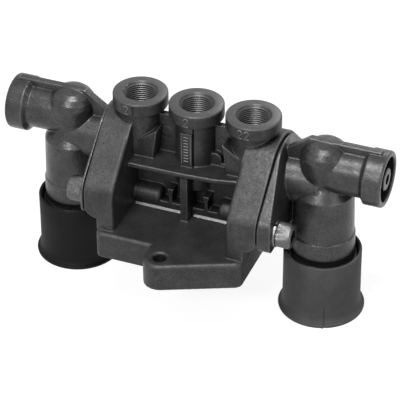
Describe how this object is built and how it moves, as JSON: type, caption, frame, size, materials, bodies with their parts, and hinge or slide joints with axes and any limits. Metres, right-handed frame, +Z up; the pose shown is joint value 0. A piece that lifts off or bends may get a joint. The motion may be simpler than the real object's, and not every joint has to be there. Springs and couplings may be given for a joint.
{
  "type": "quick release valve",
  "caption": "Pneumatic quick release valve with a row of threaded top ports on a flanged foot, and elbow housings that carry side ports and rubber exhaust cups.",
  "frame": {"origin": "underside of the foot, below the middle top port", "axes": "+X along the row of ports towards the right elbow, +Y to the back, +Z up along the top ports"},
  "size_m": [0.2498, 0.1245, 0.1324],
  "materials": {
    "cast_body": "as-cast, shot-blasted, dull grey",
    "cast_elbow": "as-cast, shot-blasted, dull grey",
    "gasket": "fibre-reinforced rubber sheet",
    "screw_steel": "zinc-plated",
    "washer_steel": "zinc-plated",
    "seat_brass": "turned",
    "clip_steel": "phosphated spring steel",
    "spigot_steel": "turned, bright",
    "diaphragm_rubber": "moulded",
    "insert_plastic": "glass-filled, moulded",
    "seal_rubber": "moulded",
    "ring_steel": "phosphated spring steel",
    "left_cup_rubber": "moulded, black, matt",
    "right_cup_rubber": "moulded, grey, matt",
    "shuttle_plastic": "natural, moulded"
  },
  "bodies": {
    "valve": {"body_casting": "cast_body", "left_elbow_housing": "cast_elbow", "left_flange_gasket": "gasket", "left_front_flange_screw": "screw_steel", "left_front_spring_washer": "washer_steel", "left_rear_flange_screw": "screw_steel", "left_rear_spring_washer": "washer_steel", "left_shuttle_seat": "seat_brass", "left_seat_clip": "clip_steel", "left_port_spigot": "spigot_steel", "left_exhaust_insert": "insert_plastic", "left_insert_seal": "seal_rubber", "left_retaining_ring": "ring_steel", "left_exhaust_cup": "left_cup_rubber", "right_elbow_housing": "cast_elbow", "right_flange_gasket": "gasket", "right_front_flange_screw": "screw_steel", "right_front_spring_washer": "washer_steel", "right_rear_flange_screw": "screw_steel", "right_rear_spring_washer": "washer_steel", "right_shuttle_seat": "seat_brass", "right_seat_clip": "clip_steel", "right_port_spigot": "spigot_steel", "right_exhaust_insert": "insert_plastic", "right_insert_seal": "seal_rubber", "right_retaining_ring": "ring_steel", "right_exhaust_cup": "right_cup_rubber"},
    "shuttle": {"shuttle": "shuttle_plastic"},
    "left_diaphragm": {"left_diaphragm": "diaphragm_rubber"},
    "right_diaphragm": {"right_diaphragm": "diaphragm_rubber"}
  },
  "joints": [
    {"name": "shuttle_slide", "type": "slide", "parent": "valve", "child": "shuttle", "axis": [1, 0, 0], "range_m": [-0.005, 0.005]},
    {"name": "left_diaphragm_lift", "type": "slide", "parent": "valve", "child": "left_diaphragm", "axis": [0, 0, 1], "range_m": [0, 0.0039]},
    {"name": "right_diaphragm_lift", "type": "slide", "parent": "valve", "child": "right_diaphragm", "axis": [0, 0, 1], "range_m": [0, 0.0039]}
  ]
}
